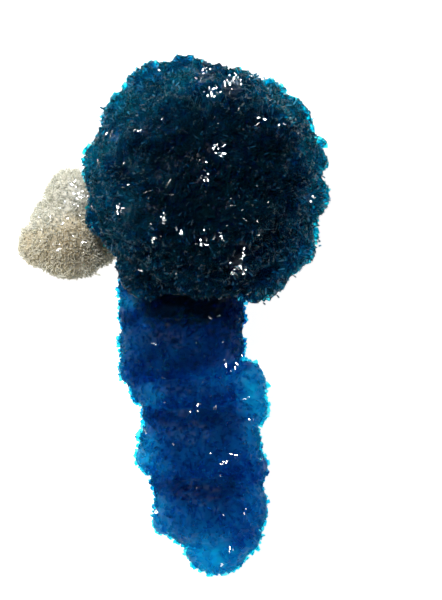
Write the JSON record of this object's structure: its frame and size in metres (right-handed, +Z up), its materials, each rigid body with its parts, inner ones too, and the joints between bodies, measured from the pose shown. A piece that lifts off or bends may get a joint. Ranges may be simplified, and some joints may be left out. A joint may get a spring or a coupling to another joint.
{
  "type": "cavansite stalactite",
  "caption": "Mineral specimen: a ball of deep blue cavansite blades on a lumpy column of the same crystals, with a cream stilbite cluster on its back, lying down.",
  "frame": {"origin": "on the resting surface, under the middle of the specimen's bounding box", "axes": "+Z up from the surface it lies on, towards the side it is shown by; +Y along the specimen from the column's tip to the ball; +X to the right as it is shown"},
  "size_m": [0.0318, 0.0528, 0.0231],
  "materials": {
    "cavansite_blue": "vitreous crystal faces",
    "stilbite_cream": "sugary, pearly crystal faces"
  },
  "bodies": {
    "root": {"cavansite": "cavansite_blue", "stilbite": "stilbite_cream"}
  },
  "joints": []
}
